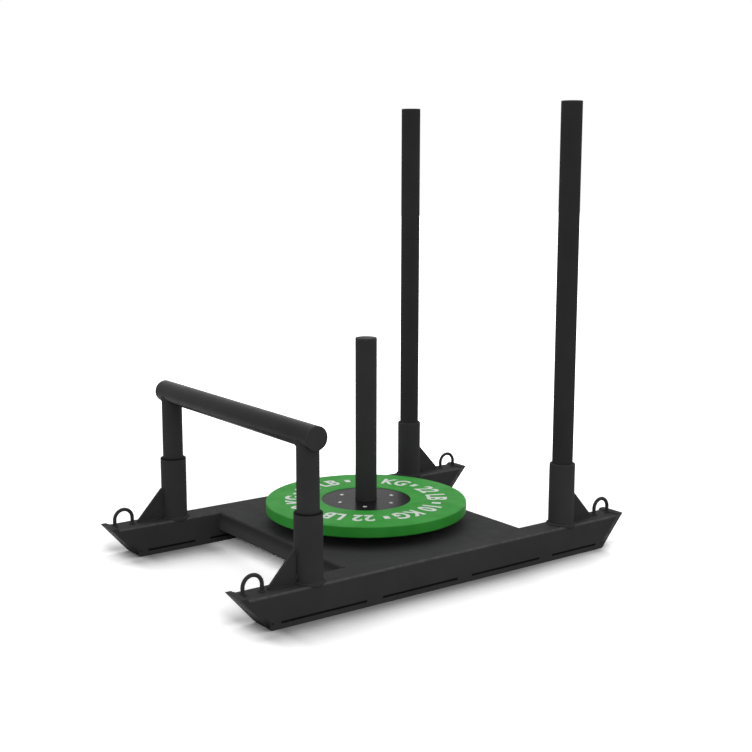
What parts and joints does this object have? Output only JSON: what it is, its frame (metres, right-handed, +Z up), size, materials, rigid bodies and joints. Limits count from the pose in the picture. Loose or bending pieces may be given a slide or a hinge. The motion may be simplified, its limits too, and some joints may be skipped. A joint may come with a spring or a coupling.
{
  "type": "weight sled",
  "caption": "Push and pull weight sled: box-tube runners on turned-up skids, a deck with a plate-loading post, tow loops, a lift-out low push bar and lift-out tall push poles.",
  "frame": {"origin": "middle of the sled on the floor: the bottom centre of its box", "axes": "+Z up; +Y along the runners from the low push bar to the tall poles; +X across, to the right of someone pushing the low bar towards +Y"},
  "size_m": [0.622, 1.01, 0.995],
  "materials": {
    "powder_coat": "satin black powder coat with a fine orange-peel grain",
    "worn_cap": "thin grey coat on a welded cap",
    "green_rubber": "matte coloured rubber with white weight marks",
    "hub_steel": "dark polished steel hub",
    "zinc": "bright zinc-plated rivets"
  },
  "bodies": {
    "base": {"left_runner": "powder_coat", "right_runner": "powder_coat", "left_skid": "powder_coat", "right_skid": "powder_coat", "skid_welds": "powder_coat", "deck_pan": "powder_coat", "deck_rib": "powder_coat", "deck_seams": "powder_coat", "front_left_socket": "powder_coat", "front_right_socket": "powder_coat", "rear_left_socket": "powder_coat", "rear_right_socket": "powder_coat", "front_left_gusset": "powder_coat", "front_right_gusset": "powder_coat", "rear_left_gusset": "powder_coat", "rear_right_gusset": "powder_coat", "front_left_tow_loop": "powder_coat", "front_right_tow_loop": "powder_coat", "rear_left_tow_loop": "powder_coat", "rear_right_tow_loop": "powder_coat", "post_collar": "powder_coat", "weight_post": "powder_coat", "weight_post_cap": "worn_cap"},
    "push_bar_frame": {"push_bar": "powder_coat", "left_bar_end_plate": "powder_coat", "right_bar_end_plate": "powder_coat", "left_bar_post": "powder_coat", "right_bar_post": "powder_coat"},
    "left_push_pole": {"left_pole": "powder_coat", "left_pole_cap": "powder_coat"},
    "right_push_pole": {"right_pole": "powder_coat", "right_pole_cap": "powder_coat"},
    "weight_plate": {"plate_rubber": "green_rubber", "hub_bush": "hub_steel", "hub_top_disc": "hub_steel", "hub_bottom_disc": "hub_steel", "hub_rivets": "zinc"}
  },
  "joints": [
    {"name": "push_bar_lift", "type": "slide", "parent": "base", "child": "push_bar_frame", "axis": [0, 0, 1], "range_m": [0, 0.15]},
    {"name": "left_pole_lift", "type": "slide", "parent": "base", "child": "left_push_pole", "axis": [0, 0, 1], "range_m": [0, 0.15]},
    {"name": "right_pole_lift", "type": "slide", "parent": "base", "child": "right_push_pole", "axis": [0, 0, 1], "range_m": [0, 0.15]},
    {"name": "plate_lift", "type": "slide", "parent": "base", "child": "weight_plate", "axis": [0, 0, 1], "range_m": [0, 0.4]}
  ]
}
